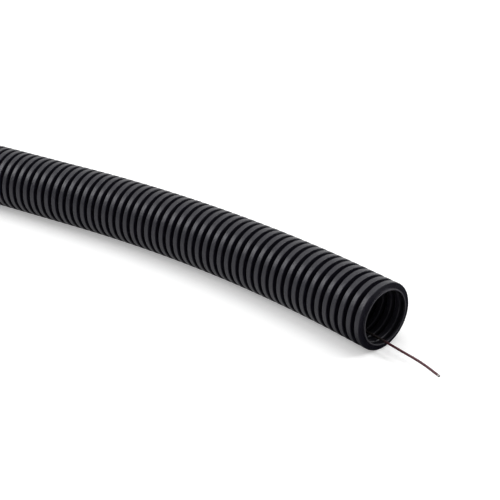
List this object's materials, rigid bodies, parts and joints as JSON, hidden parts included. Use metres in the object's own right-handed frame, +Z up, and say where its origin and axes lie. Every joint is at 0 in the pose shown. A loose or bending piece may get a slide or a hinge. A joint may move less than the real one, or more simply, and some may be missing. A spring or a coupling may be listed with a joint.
{
  "type": "corrugated conduit",
  "caption": "Flexible corrugated plastic conduit for electric cables, cut to length, gently bent near one end, with a thin draw wire lying loose in its bore.",
  "frame": {"origin": "on the surface that the conduit lies on, under the middle of its bounding box, the draw wire left out", "axes": "+Z up, +X along the straight stretch towards the end that the bend is next to; the bend turns towards -Y"},
  "size_m": [1.0508, 0.0486, 0.025],
  "materials": {
    "conduit": "black extruded plastic with a dull sheen",
    "draw_wire": "dark brown drawn steel wire"
  },
  "bodies": {
    "root": {"conduit": "conduit", "draw_wire": "draw_wire"}
  },
  "joints": []
}
